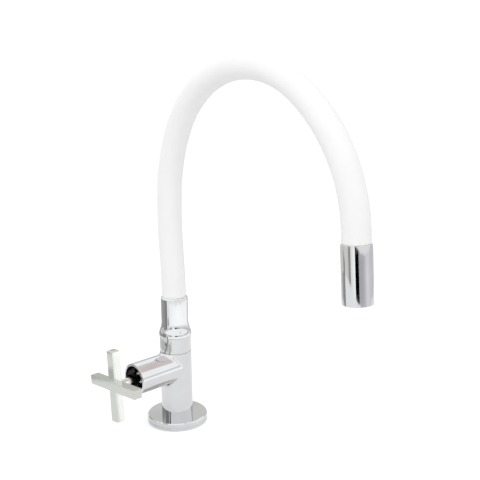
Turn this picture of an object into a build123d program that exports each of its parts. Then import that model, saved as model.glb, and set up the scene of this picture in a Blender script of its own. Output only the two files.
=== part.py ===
from build123d import *
from dataclasses import dataclass
import math
import os

# Flexible kitchen tap with a side valve and a cross handle.
# Millimetres, +Z up. The origin is the centre of the base flange's underside, on the deck.
# The spout reaches towards -Y, and the valve barrel with its handle points towards -X.

# Clearances
press_fit = 0.05  # radial, where pieces of one body screw, press or drop together
running_fit = 0.05  # radial, where one piece turns in another
disc_fit = 0.1  # radial and axial, around the ceramic discs and their driver
ring_fit = 0.02  # radial, between an O-ring and what it seals on
loose_fit = 0.3  # radial, around pieces that only pass through
seam_gap = 0.3  # axial, between visible faces that turn past each other

# Deck fixing
flange_diameter = 60.0
flange_height = 8.0
flange_bevel = 0.9
flange_groove_width = 0.5
flange_groove_depth = 0.4
flange_groove_height = 3.2
gasket_outer_diameter = 54.0
gasket_inner_diameter = 40.0
gasket_thickness = 2.0
shank_thread_diameter = 20.955
shank_bore_diameter = 11.0
shank_engagement = 12.0
shank_below_deck = 60.0
supply_thread_length = 14.0
thread_relief_length = 1.5
thread_relief_depth = 0.9
shank_chamfer = 1.0
deck_thickness = 30.0
deck_washer_diameter = 52.0
rubber_washer_thickness = 3.0
metal_washer_thickness = 1.5
backnut_across_flats = 27.0
backnut_thickness = 10.0

# Column and side barrel
column_diameter = 31.5
column_top = 74.5
inlet_chamber_diameter = 16.0
inlet_chamber_height = 3.0
inlet_bore_diameter = 9.0
inlet_bore_offset = 5.0
inlet_headroom = 1.0
barrel_diameter = 31.0
barrel_axis_height = 58.0
barrel_reach = 52.5
barrel_wall = 2.3
barrel_rim = 0.5
barrel_fillet = 4.0
barrel_shoulder = 34.0
headwork_thread_diameter = 19.0
seat_depth = 2.0
seat_port_diameter = 7.0
outlet_passage_diameter = 5.2
outlet_passage_offset = 10.0

# Union between column and spout
spigot_height = 11.5
spigot_diameter = 26.8
tail_diameter = 21.1
tail_depth = 3.0
tail_skirt_bore = 14.0
tail_flange_diameter = 25.8
tail_flange_thickness = 1.6
tail_neck_diameter = 20.6
tail_seat_depth = 8.4
slip_ring_thickness = 1.0
tail_ring_section = 1.8
tail_ring_heights = (3.5, 8.5)
union_nut_diameter = 31.2
union_nut_height = 15.8
union_nut_edge = 0.5

# Bell fitting that holds the hose
bell_height = 39.6
bell_base_diameter = 32.4
bell_base_height = 0.4
bell_wall = 1.2
bell_round_height = 5.5
bell_sweep_height = 8.5
bell_lip_height = 2.2
bell_lip_land = 0.15
ferrule_flange_thickness = 5.0

# Hose: silicone sleeve, water hose and jointed gooseneck
sleeve_diameter = 23.6
sleeve_wall = 2.0
water_hose_diameter = 7.2
water_hose_bore = 4.8
water_hose_tuck = 2.0
link_turns = (-4.2, 8.5, 21.4, 33.5, 34.7, 33.5, 22.9, 26.3)  # degrees, bell to outlet
link_pitch = 59.5
link_diameter = 16.6
link_bore = 14.0
joint_stub = 9.0
joint_bore = 9.2
ball_diameter = 14.4
neck_diameter = 10.8
neck_shoulder = 6.2
neck_taper = 2.0
socket_lip = 1.5
ferrule_grip = 14.0
outlet_grip = 11.6
ferrule_bore = 7.4
barb_count = 3
barb_height = 0.3

# Outlet with its aerator
aerator_diameter = 25.4
aerator_wall = 1.2
aerator_edge = 0.5
aerator_length = 48.0
aerator_gap = 0.2
outlet_thread_length = 12.0
aerator_shoulder_length = 2.0
aerator_shoulder_bore = 18.4
aerator_recess = 2.0
outlet_waterway_diameter = 13.0
aerator_washer_thickness = 1.5
aerator_washer_bore = 15.0
screen_thickness = 0.8
cartridge_wall = 1.3
straightener_thickness = 4.0
straightener_ledge = 1.0
screen_hole_diameter = 1.2
straightener_hole_diameter = 2.2
screen_hole_rings = 5
straightener_hole_rings = 3

# Valve headwork, along the barrel axis from the column's axis outwards
seat_gasket_thickness = 2.0
seat_gasket_diameter = 17.6
disc_diameter = 15.0
disc_thickness = 2.5
disc_port_radius = 5.6
disc_port_web = 1.4
disc_port_count = 2
disc_closing_turn = 90.0
cage_diameter = 17.8
cage_window_width = 7.0
cage_window_length = 3.0
driver_thickness = 3.0
tongue_length = 9.0
tongue_width = 3.0
tongue_depth = 1.4
tongue_angle = 45.0
headwork_thread_start = 16.0
headwork_seal_thickness = 1.0
headwork_hex_across_flats = 19.0
headwork_hex_length = 5.0
headwork_nose_diameter = 12.4
headwork_nose_length = 5.0
spindle_diameter = 7.0
spindle_end_diameter = 5.0
spindle_ring_section = 1.5
spindle_ring_places = (24.0, 29.0)
circlip_thickness = 0.8
circlip_diameter = 9.8
circlip_groove_depth = 0.6
circlip_opening = 3.0

# Cross handle
handle_reach = 78.3
handle_span = 70.0
handle_bar = 8.8
handle_bar_chamfer = 0.7
handle_rest_angle = 3.0
hub_diameter = 7.8
hub_start = 47.0
spindle_front_cover = 4.7
grub_screw_diameter = 3.0
grub_screw_place = 58.0
grub_screw_socket = 1.5
grub_screw_socket_depth = 0.9

# Places that follow from the sizes
shank_radius = shank_thread_diameter / 2
column_radius = column_diameter / 2
spigot_top = column_top + spigot_height
spigot_bore_radius = tail_diameter / 2 + running_fit
slip_ring_top = spigot_top + slip_ring_thickness
tail_flange_top = slip_ring_top + tail_flange_thickness
tail_bottom = column_top - tail_depth
union_nut_top = column_top + union_nut_height
bell_bottom = union_nut_top + seam_gap
bell_floor = bell_bottom + tail_seat_depth
bell_top = bell_bottom + bell_height
hose_start = bell_floor + ferrule_flange_thickness
water_hose_start = bell_floor - tail_seat_depth / 2
sleeve_radius = sleeve_diameter / 2
sleeve_bore_radius = sleeve_radius - sleeve_wall
joint_bore_radius = joint_bore / 2
ball_radius = ball_diameter / 2
link_radius = link_diameter / 2
threaded_bore_radius = headwork_thread_diameter / 2
shroud_bore_radius = barrel_diameter / 2 - barrel_wall
fixed_disc_start = seat_depth + seat_gasket_thickness
moving_disc_start = fixed_disc_start + disc_thickness
driver_start = moving_disc_start + disc_thickness
cage_end = driver_start + driver_thickness + disc_fit
hex_start = barrel_shoulder + headwork_seal_thickness
nose_start = hex_start + headwork_hex_length
nose_end = nose_start + headwork_nose_length
circlip_start = nose_end + disc_fit
housing_bore_radius = aerator_diameter / 2 - aerator_wall
shoulder_start = aerator_gap + outlet_thread_length
washer_start = shoulder_start + aerator_shoulder_length
screen_start = washer_start + aerator_washer_thickness
cartridge_start = screen_start + screen_thickness
cartridge_end = aerator_gap + aerator_length - aerator_recess
cartridge_radius = housing_bore_radius - press_fit
straightener_start = cartridge_end - straightener_ledge - straightener_thickness

barrel_frame = Plane(origin=(0, 0, barrel_axis_height), x_dir=(0, -1, 0), z_dir=(-1, 0, 0)).location
handle_frame = barrel_frame * Rot(0, 0, handle_rest_angle)
grub_frame = handle_frame * Pos(0, 0, grub_screw_place) * Rot(90, 0, 0)


@dataclass(frozen=True)
class Station:
    """A point of the hose centreline, in the plane X = 0.

    The heading is in degrees, from +Z over towards -Y.
    """

    y: float
    z: float
    heading: float

    def frame(self):
        """Location whose +Z runs along the hose."""
        lean = math.radians(self.heading)
        along = (0, -math.sin(lean), math.cos(lean))
        return Plane(origin=(0, self.y, self.z), x_dir=(1, 0, 0), z_dir=along).location

    def after(self, length, turn=0.0):
        """Station at the far end of a straight run, or of an arc that turns by the given degrees."""
        start = math.radians(self.heading)
        if turn == 0:
            return Station(self.y - length * math.sin(start), self.z + length * math.cos(start), self.heading)
        end = start + math.radians(turn)
        radius = length / math.radians(turn)
        y = self.y + radius * (math.cos(end) - math.cos(start))
        z = self.z + radius * (math.sin(end) - math.sin(start))
        return Station(y, z, self.heading + turn)


def link_starts():
    """Station where each gooseneck link starts, and last the one where the final link ends."""
    stations = [Station(0.0, hose_start, 0.0).after(ferrule_grip)]
    for turn in link_turns:
        stations.append(stations[-1].after(link_pitch, turn))
    return stations


def link_bend_length(turn):
    """Length of the arc between a link's two straight stubs, whose ends keep the hose's headings."""
    half_turn = math.radians(abs(turn)) / 2
    hose_radius = link_pitch / (2 * half_turn)
    return 2 * half_turn * (hose_radius - joint_stub / math.tan(half_turn))


def ring(outer_radius, inner_radius, low, high):
    """Ring or disc about the local Z axis, between two heights."""
    height = high - low
    solid = Cylinder(outer_radius, height)
    if inner_radius > 0:
        solid -= Cylinder(inner_radius, height)
    return Pos(0, 0, (low + high) / 2) * solid


def hexagon(across_flats, low, high):
    """Hexagonal prism about the local Z axis."""
    outline = RegularPolygon(radius=across_flats / 2, side_count=6, major_radius=False)
    return Pos(0, 0, low) * extrude(outline, amount=high - low)


def o_ring(outer_radius, section, place):
    """O-ring that touches a bore of about the given radius."""
    return Pos(0, 0, place) * Torus(outer_radius - section / 2, section / 2)


def o_ring_groove(shaft_radius, outer_radius, section, place):
    """Cutter for the groove that holds such an O-ring on a shaft."""
    floor_radius = outer_radius - section - ring_fit
    half_width = section / 2 + disc_fit
    return ring(shaft_radius + loose_fit, floor_radius, place - half_width, place + half_width)


def rosette(rings, reach, hole_diameter, low, high):
    """Cutters for a centre hole and rings of 6, 12, 18 holes, out to the given radius."""
    cutters = [ring(hole_diameter / 2, 0, low, high)]
    for number in range(1, rings + 1):
        cutters += PolarLocations(reach * number / rings, 6 * number) * cutters[0]
    return cutters


def run(section, station, length, turn):
    """Solid that carries a flat section along one straight or curved run of the hose."""
    if turn == 0:
        solid = extrude(section, amount=length)
    else:
        radius = length / math.radians(turn)
        bend_axis = Axis((0, -radius, 0), (math.copysign(1, turn), 0, 0))
        solid = revolve(section, axis=bend_axis, revolution_arc=abs(turn))
    return station.frame() * solid


def hose_tube(outer_radius, inner_radius, tuck_below, tuck_above):
    """Tube along the hose centreline, from below its start to short of or past its end."""
    section = Circle(outer_radius) - Circle(inner_radius)
    station = Station(0.0, hose_start - tuck_below, 0.0)
    runs = [(tuck_below + ferrule_grip, 0.0)]
    runs += [(link_pitch, turn) for turn in link_turns]
    runs.append((outlet_grip + tuck_above, 0.0))
    tube = None
    for length, turn in runs:
        piece = run(section, station, length, turn)
        tube = piece if tube is None else tube + piece
        station = station.after(length, turn)
    return tube


def base_flange():
    """Round flange with a bevelled rim and one fine groove round its edge."""
    radius = flange_diameter / 2
    solid = ring(radius, shank_radius + loose_fit, 0, flange_height)
    rim = solid.edges().filter_by(GeomType.CIRCLE).group_by(Axis.Z)[-1].sort_by(SortBy.RADIUS)[-1]
    solid = chamfer(rim, flange_bevel)
    groove_low = flange_groove_height - flange_groove_width / 2
    groove_high = groove_low + flange_groove_width
    solid -= ring(radius + loose_fit, radius - flange_groove_depth, groove_low, groove_high)
    return solid - ring(gasket_outer_diameter / 2, gasket_inner_diameter / 2, 0, gasket_thickness)


def base_gasket():
    """Flat rubber gasket in the flange's underside."""
    outer = gasket_outer_diameter / 2 - press_fit
    return ring(outer, gasket_inner_diameter / 2 + press_fit, 0, gasket_thickness)


def valve_body():
    """Cast column with its side barrel, waterways and upper spigot."""
    blank_top = column_top + 2 * barrel_fillet
    column = ring(column_radius, 0, flange_height, blank_top)
    barrel = barrel_frame * ring(barrel_diameter / 2, 0, 0, barrel_reach)
    body = column + barrel
    joint_line = [e for e in body.edges() if e.geom_type not in (GeomType.CIRCLE, GeomType.LINE)]
    body = fillet(joint_line, barrel_fillet)
    body -= ring(column_diameter, 0, column_top, blank_top)
    mouth = body.edges().filter_by(GeomType.CIRCLE).sort_by(Axis.X)[0]
    body = fillet(mouth, barrel_rim)
    body += ring(spigot_diameter / 2, 0, column_top, spigot_top)
    body -= ring(spigot_bore_radius, 0, tail_bottom - disc_fit, spigot_top)
    chamber_low = flange_height + shank_engagement
    chamber_high = chamber_low + inlet_chamber_height
    body -= ring(shank_radius + press_fit, 0, flange_height, chamber_low)
    body -= ring(inlet_chamber_diameter / 2, 0, chamber_low, chamber_high)
    inlet_top = barrel_axis_height + seat_port_diameter / 2 + inlet_headroom
    body -= Pos(inlet_bore_offset, 0, 0) * ring(inlet_bore_diameter / 2, 0, chamber_low, inlet_top)
    body -= barrel_frame * ring(seat_port_diameter / 2, 0, -inlet_bore_offset, seat_depth)
    body -= barrel_frame * ring(threaded_bore_radius, 0, seat_depth, barrel_shoulder)
    body -= barrel_frame * ring(shroud_bore_radius, 0, barrel_shoulder, barrel_reach)
    passage = ring(outlet_passage_diameter / 2, 0, barrel_axis_height, tail_bottom)
    return body - Pos(-outlet_passage_offset, 0, 0) * passage


def threaded_shank():
    """Hollow threaded shank that clamps the tap to the deck and takes the supply."""
    solid = ring(shank_radius, 0, -shank_below_deck, flange_height + shank_engagement)
    solid = chamfer(solid.edges().group_by(Axis.Z)[0], shank_chamfer)
    relief_low = -shank_below_deck + shank_chamfer + supply_thread_length
    relief_radius = shank_radius - thread_relief_depth
    solid -= ring(shank_radius + loose_fit, relief_radius, relief_low, relief_low + thread_relief_length)
    return solid - ring(shank_bore_diameter / 2, 0, -shank_below_deck, flange_height + shank_engagement)


def rubber_deck_washer():
    """Rubber washer under the deck."""
    bore = shank_radius + loose_fit
    return ring(deck_washer_diameter / 2, bore, -deck_thickness - rubber_washer_thickness, -deck_thickness)


def metal_deck_washer():
    """Metal washer between the rubber one and the backnut."""
    high = -deck_thickness - rubber_washer_thickness
    return ring(deck_washer_diameter / 2, shank_radius + loose_fit, high - metal_washer_thickness, high)


def backnut():
    """Hexagonal nut that clamps the washers up against the deck."""
    high = -deck_thickness - rubber_washer_thickness - metal_washer_thickness
    nut = hexagon(backnut_across_flats, high - backnut_thickness, high)
    return nut - ring(shank_radius + press_fit, 0, high - backnut_thickness, high)


def union_nut():
    """Plain round nut that holds the spout's tail in the column."""
    solid = ring(union_nut_diameter / 2, 0, column_top, union_nut_top)
    solid = chamfer(solid.edges().filter_by(GeomType.CIRCLE), union_nut_edge)
    solid -= ring(spigot_diameter / 2 + press_fit, 0, column_top, tail_flange_top + disc_fit)
    return solid - ring(tail_neck_diameter / 2 + loose_fit, 0, column_top, union_nut_top)


def slip_ring():
    """Low-friction ring that the spout's tail turns on."""
    bore = tail_diameter / 2 + disc_fit
    return ring(spigot_diameter / 2 - loose_fit, bore, spigot_top, slip_ring_top)


def swivel_tail():
    """Spout's tail: skirt in the column, flange under the nut, neck up into the bell."""
    solid = ring(tail_diameter / 2, 0, tail_bottom, slip_ring_top)
    solid += ring(tail_flange_diameter / 2, 0, slip_ring_top, tail_flange_top)
    solid += ring(tail_neck_diameter / 2, 0, tail_flange_top, bell_floor)
    for height in tail_ring_heights:
        outer = spigot_bore_radius - ring_fit
        solid -= o_ring_groove(tail_diameter / 2, outer, tail_ring_section, tail_bottom + height)
    solid -= ring(tail_skirt_bore / 2, 0, tail_bottom, water_hose_start - water_hose_tuck)
    return solid - ring(water_hose_diameter / 2 + press_fit, 0, tail_bottom, bell_floor)


def tail_o_rings():
    """Two O-rings that seal the tail in the column."""
    outer = spigot_bore_radius - ring_fit
    return [o_ring(outer, tail_ring_section, tail_bottom + height) for height in tail_ring_heights]


def bell_fitting():
    """Tulip-shaped fitting: a round shoulder sweeps hollow into the neck, under a rounded lip."""
    base_radius = bell_base_diameter / 2
    socket_radius = sleeve_radius + loose_fit
    neck_radius = socket_radius + bell_wall
    lip_radius = socket_radius + bell_lip_land
    lip_start = bell_top - bell_lip_height
    flare_start = bell_bottom + bell_base_height
    flare_height = bell_round_height + bell_sweep_height
    lean = 2 * math.atan((base_radius - neck_radius) / flare_height)
    round_radius = bell_round_height / math.sin(lean)
    turning_point = (base_radius - round_radius * (1 - math.cos(lean)), flare_start + bell_round_height)
    flare_end = flare_start + flare_height
    outline = [
        Line((0, bell_bottom), (base_radius, bell_bottom)),
        Line((base_radius, bell_bottom), (base_radius, flare_start)),
        TangentArc((base_radius, flare_start), turning_point, tangent=(0, 1)),
        TangentArc((neck_radius, flare_end), turning_point, tangent=(0, -1)),
        Line((neck_radius, flare_end), (neck_radius, lip_start)),
        TangentArc((neck_radius, lip_start), (lip_radius, bell_top), tangent=(0, 1)),
        Line((lip_radius, bell_top), (0, bell_top)),
        Line((0, bell_top), (0, bell_bottom)),
    ]
    solid = revolve(Plane.XZ * make_face(outline), axis=Axis.Z)
    solid -= ring(socket_radius, 0, bell_floor, bell_top)
    return solid - ring(tail_neck_diameter / 2, 0, bell_bottom, bell_floor)


def barbed_grip(low, high):
    """Plug with barbs that hold the sleeve, between two heights."""
    radius = sleeve_bore_radius - press_fit - barb_height
    solid = ring(radius, 0, low, high)
    pitch = (high - low) / barb_count
    for number in range(barb_count):
        barb = Cone(bottom_radius=radius + barb_height, top_radius=radius, height=pitch)
        solid += Pos(0, 0, low + pitch * (number + 0.5)) * barb
    return solid


def lower_ferrule():
    """Ferrule in the bell that carries the sleeve and the first link."""
    solid = ring(sleeve_radius + loose_fit - press_fit, 0, bell_floor, hose_start)
    solid += barbed_grip(hose_start, hose_start + ferrule_grip)
    return solid - ring(ferrule_bore / 2, 0, bell_floor, hose_start + ferrule_grip)


def hose_sleeve():
    """Silicone sleeve over the gooseneck, in its resting arch."""
    return hose_tube(sleeve_radius, sleeve_bore_radius, 0.0, 0.0)


def water_hose():
    """Slim hose that carries the water through the gooseneck."""
    tuck_below = hose_start - water_hose_start
    return hose_tube(water_hose_diameter / 2, water_hose_bore / 2, tuck_below, -water_hose_tuck)


def ball_end():
    """Upper end of a link, about the joint centre: shoulder, neck and ball."""
    solid = ring(link_radius, 0, -joint_stub, -neck_shoulder - neck_taper)
    taper = Cone(bottom_radius=link_radius, top_radius=neck_diameter / 2, height=neck_taper)
    solid += Pos(0, 0, -neck_shoulder - neck_taper / 2) * taper
    solid += ring(neck_diameter / 2, 0, -neck_shoulder, 0)
    solid += Sphere(ball_radius)
    return solid - ring(joint_bore_radius, 0, -joint_stub, ball_radius)


def socket_end():
    """Lower end of a link, about the joint centre: a lip past the ball's widest place."""
    solid = ring(link_radius, joint_bore_radius, -socket_lip, joint_stub)
    return solid - Sphere(ball_radius + running_fit)


def gooseneck_link(number):
    """One rigid link of the gooseneck; the first and last have a plain end at their ferrule."""
    starts = link_starts()
    turn = link_turns[number]
    section = Circle(link_radius) - Circle(link_bore / 2)
    bend_start = starts[number].after(joint_stub)
    bend_length = link_bend_length(turn)
    solid = run(section, bend_start, bend_length, turn)
    if number == 0:
        solid += run(section, starts[number], joint_stub, 0.0)
    else:
        solid += starts[number].frame() * socket_end()
    if number == len(link_turns) - 1:
        return solid + run(section, bend_start.after(bend_length, turn), joint_stub, 0.0)
    return solid + starts[number + 1].frame() * ball_end()


def at_outlet(solid):
    """Place a piece whose local Z = 0 is the sleeve's lower end."""
    return link_starts()[-1].after(outlet_grip).frame() * solid


def upper_ferrule():
    """Ferrule that joins the sleeve's end to the aerator housing."""
    solid = Rot(180, 0, 0) * barbed_grip(0, outlet_grip)
    solid += ring(housing_bore_radius - press_fit, 0, 0, shoulder_start)
    solid -= ring(water_hose_diameter / 2 + press_fit, 0, -outlet_grip, 0)
    return at_outlet(solid - ring(outlet_waterway_diameter / 2, 0, -water_hose_tuck, shoulder_start))


def aerator_housing():
    """Plain round sleeve at the outlet, with an inner shoulder."""
    end = aerator_gap + aerator_length
    solid = ring(aerator_diameter / 2, 0, aerator_gap, end)
    solid = chamfer(solid.edges().filter_by(GeomType.CIRCLE), aerator_edge)
    solid -= ring(housing_bore_radius, 0, aerator_gap, shoulder_start)
    solid -= ring(aerator_shoulder_bore / 2, 0, shoulder_start, washer_start)
    return at_outlet(solid - ring(housing_bore_radius, 0, washer_start, end))


def aerator_washer():
    """Rubber washer between the housing's shoulder and the aerator."""
    return at_outlet(ring(cartridge_radius, aerator_washer_bore / 2, washer_start, screen_start))


def inlet_screen():
    """Steel screen in front of the aerator."""
    solid = ring(cartridge_radius, 0, screen_start, cartridge_start)
    reach = aerator_washer_bore / 2 - screen_hole_diameter
    holes = rosette(screen_hole_rings, reach, screen_hole_diameter, screen_start, cartridge_start)
    return at_outlet(solid - holes)


def aerator_cartridge():
    """Plastic cartridge body, screwed into the housing from below."""
    inner = cartridge_radius - cartridge_wall
    solid = ring(cartridge_radius, inner, cartridge_start, cartridge_end)
    ledge_low = cartridge_end - straightener_ledge
    return at_outlet(solid + ring(inner, inner - straightener_ledge, ledge_low, cartridge_end))


def flow_straightener():
    """Plastic disc of small channels near the mouth."""
    radius = cartridge_radius - cartridge_wall - press_fit
    high = straightener_start + straightener_thickness
    reach = radius - straightener_ledge - straightener_hole_diameter / 2 - loose_fit
    holes = rosette(straightener_hole_rings, reach, straightener_hole_diameter, straightener_start, high)
    return at_outlet(ring(radius, 0, straightener_start, high) - holes)


def seat_gasket():
    """Rubber gasket under the fixed ceramic disc."""
    inner = seat_port_diameter / 2
    return barrel_frame * ring(seat_gasket_diameter / 2, inner, seat_depth, fixed_disc_start)


def disc_ports(start):
    """Cutters for the quarter-round ports of a ceramic disc."""
    side = disc_port_radius - disc_port_web
    corner = Pos(disc_port_radius / 2, disc_port_radius / 2) * Rectangle(side, side)
    port = Circle(disc_port_radius) & corner
    return PolarLocations(0, disc_port_count) * (Pos(0, 0, start) * extrude(port, amount=disc_thickness))


def fixed_disc():
    """Fixed ceramic disc with two ports."""
    solid = ring(disc_diameter / 2, 0, fixed_disc_start, moving_disc_start)
    return barrel_frame * (solid - disc_ports(fixed_disc_start))


def moving_disc():
    """Turning ceramic disc, closed at rest, with a slot for the spindle's tongue."""
    solid = ring(disc_diameter / 2, 0, moving_disc_start, driver_start)
    for port in disc_ports(moving_disc_start):
        solid -= Rot(0, 0, disc_closing_turn) * port
    slot = Box(tongue_length + 2 * disc_fit, tongue_width + 2 * disc_fit, tongue_depth + disc_fit)
    slot_middle = driver_start - (tongue_depth + disc_fit) / 2
    return handle_frame * (solid - Rot(0, 0, tongue_angle) * Pos(0, 0, slot_middle) * slot)


def headwork_body():
    """Brass headwork: cage with windows, thread, hexagon and nose."""
    solid = ring(cage_diameter / 2, 0, fixed_disc_start, barrel_shoulder)
    solid += ring(threaded_bore_radius - press_fit, 0, headwork_thread_start, barrel_shoulder)
    solid += ring(threaded_bore_radius - press_fit, 0, barrel_shoulder, hex_start)
    solid += hexagon(headwork_hex_across_flats, hex_start, nose_start)
    solid += ring(headwork_nose_diameter / 2, 0, nose_start, nose_end)
    solid -= ring(disc_diameter / 2 + disc_fit, 0, fixed_disc_start, cage_end)
    solid -= ring(spindle_diameter / 2 + running_fit, 0, cage_end, nose_end)
    window = Box(cage_window_width, cage_diameter, cage_window_length)
    window_middle = cage_end - cage_window_length / 2
    solid -= Pos(0, cage_diameter / 2, window_middle) * window
    return barrel_frame * (solid - Pos(0, -cage_diameter / 2, window_middle) * window)


def headwork_seal():
    """Seal between the headwork's hexagon and the barrel's inner shoulder."""
    inner = threaded_bore_radius + press_fit
    return barrel_frame * ring(shroud_bore_radius - loose_fit, inner, barrel_shoulder, hex_start)


def spindle():
    """Valve spindle: driver with its tongue, shaft with grooves, and slim end in the handle."""
    driver_end = driver_start + driver_thickness
    radius = spindle_diameter / 2
    solid = ring(disc_diameter / 2 - disc_fit, 0, driver_start + disc_fit, driver_end)
    solid += ring(radius, 0, driver_end, hub_start)
    solid += ring(spindle_end_diameter / 2, 0, hub_start, handle_reach - spindle_front_cover)
    tongue = Box(tongue_length, tongue_width, tongue_depth + disc_fit)
    tongue_middle = driver_start + disc_fit - tongue_depth / 2
    solid += Rot(0, 0, tongue_angle) * Pos(0, 0, tongue_middle) * tongue
    for place in spindle_ring_places:
        outer = radius + running_fit - ring_fit
        solid -= o_ring_groove(radius, outer, spindle_ring_section, place)
    groove_low = circlip_start - ring_fit
    groove_high = circlip_start + circlip_thickness + ring_fit
    clip_groove = ring(radius + loose_fit, radius - circlip_groove_depth, groove_low, groove_high)
    return handle_frame * (solid - clip_groove)


def spindle_o_rings():
    """Two O-rings that seal the spindle in the headwork."""
    outer = spindle_diameter / 2 + running_fit - ring_fit
    return [handle_frame * o_ring(outer, spindle_ring_section, place) for place in spindle_ring_places]


def spindle_circlip():
    """Open circlip that keeps the spindle in the headwork."""
    inner = spindle_diameter / 2 - circlip_groove_depth + press_fit
    clip = ring(circlip_diameter / 2, inner, circlip_start, circlip_start + circlip_thickness)
    opening = Box(circlip_diameter, circlip_opening, circlip_thickness)
    opening_middle = Pos(circlip_diameter / 2, 0, circlip_start + circlip_thickness / 2)
    return handle_frame * (clip - opening_middle * opening)


def cross_handle():
    """Cross of four square bars on a slim hub."""
    middle = Pos(0, 0, handle_reach - handle_bar / 2)
    cross = middle * (Box(handle_span, handle_bar, handle_bar) + Box(handle_bar, handle_span, handle_bar))
    ends = cross.faces().filter_by(Axis.X).sort_by(Axis.X)
    caps = cross.faces().filter_by(Axis.Y).sort_by(Axis.Y)
    end_edges = [edge for face in (ends[0], ends[-1], caps[0], caps[-1]) for edge in face.edges()]
    cross = chamfer(end_edges, handle_bar_chamfer)
    cross += ring(hub_diameter / 2, 0, hub_start + disc_fit, handle_reach - handle_bar)
    bore_end = handle_reach - spindle_front_cover + disc_fit
    cross -= ring(spindle_end_diameter / 2 + press_fit, 0, hub_start, bore_end)
    return handle_frame * cross - grub_screw_cylinder(press_fit)


def grub_screw_cylinder(clearance):
    """Cylinder that the grub screw fills, below the hub, grown by a clearance."""
    radius = grub_screw_diameter / 2 + clearance
    tip = spindle_end_diameter / 2 + press_fit - clearance
    return grub_frame * ring(radius, 0, tip, hub_diameter / 2 - press_fit + 2 * clearance)


def handle_grub_screw():
    """Socket grub screw that clamps the handle to the spindle from below."""
    socket_low = hub_diameter / 2 - press_fit - grub_screw_socket_depth
    return grub_screw_cylinder(0.0) - grub_frame * hexagon(grub_screw_socket, socket_low, hub_diameter / 2)


pieces = {
    "base_flange": base_flange(),
    "base_gasket": base_gasket(),
    "valve_body": valve_body(),
    "threaded_shank": threaded_shank(),
    "rubber_deck_washer": rubber_deck_washer(),
    "metal_deck_washer": metal_deck_washer(),
    "backnut": backnut(),
    "union_nut": union_nut(),
    "slip_ring": slip_ring(),
    "seat_gasket": seat_gasket(),
    "fixed_disc": fixed_disc(),
    "headwork_body": headwork_body(),
    "headwork_seal": headwork_seal(),
    "moving_disc": moving_disc(),
    "spindle": spindle(),
    "spindle_o_rings": spindle_o_rings(),
    "spindle_circlip": spindle_circlip(),
    "cross_handle": cross_handle(),
    "handle_grub_screw": handle_grub_screw(),
    "swivel_tail": swivel_tail(),
    "tail_o_rings": tail_o_rings(),
    "bell_fitting": bell_fitting(),
    "lower_ferrule": lower_ferrule(),
    "hose_sleeve": hose_sleeve(),
    "water_hose": water_hose(),
    "upper_ferrule": upper_ferrule(),
    "aerator_housing": aerator_housing(),
    "aerator_washer": aerator_washer(),
    "inlet_screen": inlet_screen(),
    "aerator_cartridge": aerator_cartridge(),
    "flow_straightener": flow_straightener(),
}
for number in range(len(link_turns)):
    pieces[f"gooseneck_link_{number + 1}"] = gooseneck_link(number)

os.makedirs("parts", exist_ok=True)
for name, piece in pieces.items():
    solids = Compound(children=piece) if isinstance(piece, list) else piece
    export_step(solids, f"parts/{name}.step")
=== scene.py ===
"""Flexible kitchen tap on a white ground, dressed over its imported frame.

Everything is in metres, in the frame's own axes: +Z up, the spout towards -Y
and the valve barrel with its cross handle towards -X.
"""

import logging
import math
from dataclasses import dataclass
from enum import Enum
from itertools import pairwise
from typing import Sequence

import bpy
from mathutils import Matrix, Vector


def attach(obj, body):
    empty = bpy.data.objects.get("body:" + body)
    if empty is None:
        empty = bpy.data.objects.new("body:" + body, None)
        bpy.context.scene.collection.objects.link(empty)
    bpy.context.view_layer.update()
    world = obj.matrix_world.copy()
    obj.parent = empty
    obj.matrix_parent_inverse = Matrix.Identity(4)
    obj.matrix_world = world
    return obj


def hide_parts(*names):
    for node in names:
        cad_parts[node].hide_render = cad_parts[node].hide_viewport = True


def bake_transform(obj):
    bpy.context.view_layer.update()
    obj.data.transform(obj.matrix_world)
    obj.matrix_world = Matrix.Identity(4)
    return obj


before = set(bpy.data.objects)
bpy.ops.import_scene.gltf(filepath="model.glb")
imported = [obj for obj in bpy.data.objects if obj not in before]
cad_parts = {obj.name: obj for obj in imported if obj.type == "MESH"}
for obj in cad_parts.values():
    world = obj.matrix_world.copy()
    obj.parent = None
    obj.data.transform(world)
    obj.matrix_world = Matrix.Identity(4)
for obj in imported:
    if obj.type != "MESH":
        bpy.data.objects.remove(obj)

log = logging.getLogger("tap")

Triple = tuple[float, float, float]
Colour = tuple[float, float, float]
Ring = tuple[float, float]  # radius and height
Run = tuple[float, float]  # length, and the turn over it in degrees
Fold = tuple[float, float]  # bearing in degrees, and brightness
MM = 0.001

PATTERN_DARK = 0.3  # a pattern's value where its dark tone begins
PATTERN_LIGHT = 0.7
MARK_WAVER = 0.6
MARK_DETAIL = 2.0
HAZE_DETAIL = 5.0
SHEEN_FINER = 4  # how much finer the roughness pattern of metal is than its haze
FINE_DETAIL = 3.0
TONE_SCALE = 35.0  # features per metre in the tone of moulded pieces
TONE_DETAIL = 4.0
SHEEN_SCALE = 160.0
SCATTER_REACH = 4.0 * MM
SAME_WAY = 0.99  # least cosine between a face's normal and the way that it should look
JOIN_WITHIN = 0.01 * MM


class Slot(Enum):
    """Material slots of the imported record."""

    POLISHED_CHROME = "polished_chrome"
    SATIN_CHROME = "satin_chrome"
    BRASS = "brass"
    # Black plastic of the headwork, which also serves as painted shade in the barrel's mouth.
    BLACK_PLASTIC = "black_plastic"
    STAINLESS_STEEL = "stainless_steel"
    ZINC_STEEL = "zinc_steel"
    WHITE_SILICONE = "white_silicone"
    BLACK_RUBBER = "black_rubber"
    HOSE_PLASTIC = "hose_plastic"
    CERAMIC = "ceramic"
    WHITE_PLASTIC = "white_plastic"


# Finishes


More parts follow.
